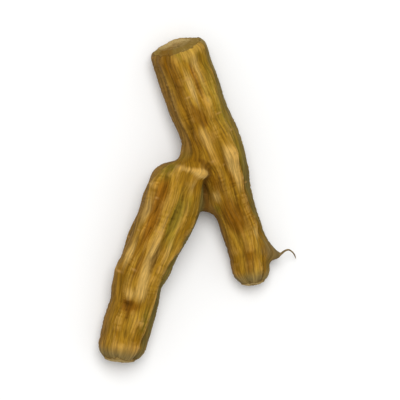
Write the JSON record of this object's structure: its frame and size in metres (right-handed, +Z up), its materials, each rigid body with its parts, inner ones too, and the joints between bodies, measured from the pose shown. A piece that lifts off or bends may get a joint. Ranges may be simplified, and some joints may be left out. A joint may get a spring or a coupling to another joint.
{
  "type": "ginseng root",
  "caption": "Short cut length of dried ginseng root that forks into two legs, wrinkled along its length, lying flat on a surface.",
  "frame": {"origin": "on the surface that the root lies on, under the middle of its box", "axes": "+Z up from that surface, +Y along the root from the feet of its two legs to the crown end"},
  "size_m": [0.0154, 0.0248, 0.0046],
  "materials": {
    "root_skin": "dull golden brown dried bark, wrinkled lengthwise, with paler fibrous cut ends"
  },
  "bodies": {
    "root": {"main_root": "root_skin", "side_root": "root_skin"}
  },
  "joints": []
}
